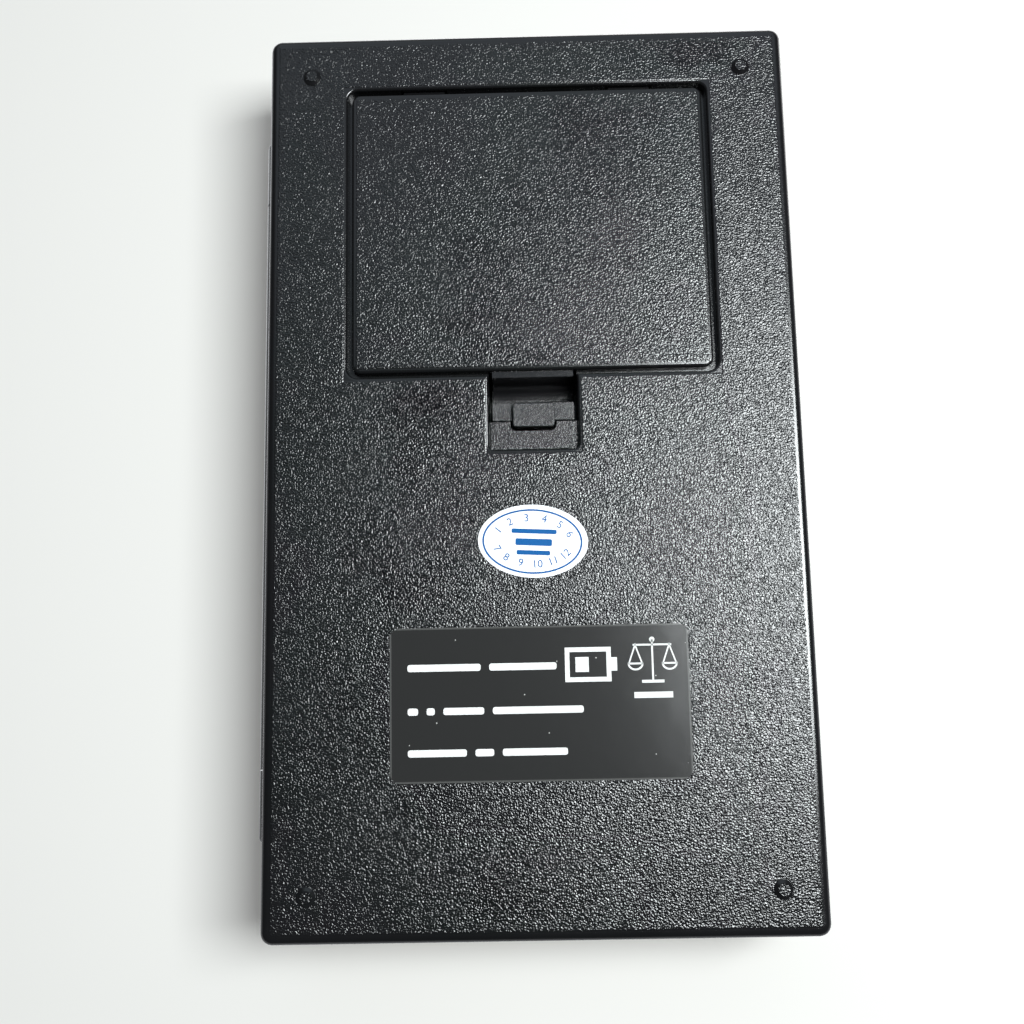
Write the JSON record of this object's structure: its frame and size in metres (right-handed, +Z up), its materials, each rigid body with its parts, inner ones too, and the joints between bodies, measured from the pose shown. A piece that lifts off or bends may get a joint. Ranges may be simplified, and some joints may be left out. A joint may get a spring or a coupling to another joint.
{
  "type": "pocket scale",
  "caption": "Pocket scale with a flip cover hinged along its left side, a steel weighing platform, a display and keys under the cover, and a latched battery door on its underside.",
  "frame": {"origin": "centre of the bounding box in plan, on the plane that the four feet stand on", "axes": "+Z up in use, with the cover on top; +Y from the keys at the front to the weighing platform at the back; the cover's hinge is on the -X side"},
  "size_m": [0.0772, 0.128, 0.02],
  "materials": {
    "case_plastic": "black ABS moulded with a coarse spark-eroded grain, smooth along the rounded edges",
    "latch_plastic": "black ABS with a fine matt texture",
    "deck_plastic": "dark grey ABS with a fine matt texture",
    "support_plastic": "grey moulded plastic",
    "key_plastic": "mid grey satin keys with printed signs",
    "pin_steel": "drawn steel wire",
    "platform_steel": "brushed stainless steel",
    "screw_steel": "zinc plated steel",
    "spring_steel": "nickel plated spring steel",
    "cell_can": "printed film over a steel can",
    "label_film": "black film printed in white",
    "sticker_paper": "white paper sticker printed in blue",
    "window_clear": "clear acrylic",
    "lcd_glass": "grey-green liquid crystal cell",
    "backlight": "milky light guide",
    "zebra_rubber": "layered elastomer strip",
    "board": "green solder mask",
    "chip_epoxy": "black potting epoxy",
    "dome_steel": "stainless snap domes",
    "beam_aluminium": "milled aluminium",
    "gauge_sealant": "white silicone sealant",
    "tape_foam": "double-sided foam tape",
    "wire_pvc": "insulated hook-up wire",
    "ribbon": "flat ribbon cable"
  },
  "bodies": {
    "base": {"bottom_case": "case_plastic", "top_case": "deck_plastic", "hinge_pins": "pin_steel", "battery_1": "cell_can", "battery_2": "cell_can", "battery_springs": "spring_steel", "contact_bridge": "spring_steel", "contact_plates": "spring_steel", "rating_label": "label_film", "inspection_sticker": "sticker_paper", "display_window": "window_clear", "lcd_glass": "lcd_glass", "lcd_backlight": "backlight", "zebra_strip": "zebra_rubber", "main_board": "board", "key_board": "board", "snap_domes": "dome_steel", "scale_chip": "chip_epoxy", "board_screws": "screw_steel", "load_cell": "beam_aluminium", "strain_gauges": "gauge_sealant", "beam_base_screws": "screw_steel", "case_screws": "screw_steel", "battery_wires": "wire_pvc", "sensor_wires": "wire_pvc", "board_ribbon": "ribbon"},
    "lid": {"lid": "case_plastic"},
    "battery_door": {"battery_door": "case_plastic"},
    "door_latch": {"door_latch": "latch_plastic"},
    "key_power": {"key_power": "key_plastic"},
    "key_mode": {"key_mode": "key_plastic"},
    "key_tare": {"key_tare": "key_plastic"},
    "key_pieces": {"key_pieces": "key_plastic"},
    "key_light": {"key_light": "key_plastic"},
    "platform": {"weighing_platform": "platform_steel", "platform_tape": "tape_foam", "platform_support": "support_plastic", "beam_platform_screws": "screw_steel"}
  },
  "joints": [
    {"name": "lid_hinge", "type": "hinge", "parent": "base", "child": "lid", "pos_m": [-0.03665, 0, 0.01], "axis": [0, -1, 0], "range_deg": [0, 180]},
    {"name": "door_hinge", "type": "hinge", "parent": "base", "child": "battery_door", "pos_m": [0.00115, -0.0553, 0.0009], "axis": [-1, 0, 0], "range_deg": [0, 70]},
    {"name": "latch_flex", "type": "hinge", "parent": "battery_door", "child": "door_latch", "pos_m": [0.00115, -0.0102, 0.0073], "axis": [-1, 0, 0], "range_deg": [0, 5], "stiffness_Nm_per_rad": 0.05},
    {"name": "key_power_press", "type": "slide", "parent": "base", "child": "key_power", "axis": [0, 0, -1], "range_m": [0, 0.00035], "stiffness_N_per_m": 2000},
    {"name": "key_mode_press", "type": "slide", "parent": "base", "child": "key_mode", "axis": [0, 0, -1], "range_m": [0, 0.00035], "stiffness_N_per_m": 2000},
    {"name": "key_tare_press", "type": "slide", "parent": "base", "child": "key_tare", "axis": [0, 0, -1], "range_m": [0, 0.00035], "stiffness_N_per_m": 2000},
    {"name": "key_pieces_press", "type": "slide", "parent": "base", "child": "key_pieces", "axis": [0, 0, -1], "range_m": [0, 0.00035], "stiffness_N_per_m": 2000},
    {"name": "key_light_press", "type": "slide", "parent": "base", "child": "key_light", "axis": [0, 0, -1], "range_m": [0, 0.00035], "stiffness_N_per_m": 2000},
    {"name": "platform_travel", "type": "slide", "parent": "base", "child": "platform", "axis": [0, 0, -1], "range_m": [0, 0.00025], "stiffness_N_per_m": 8000, "deforming": ["load_cell"]}
  ]
}
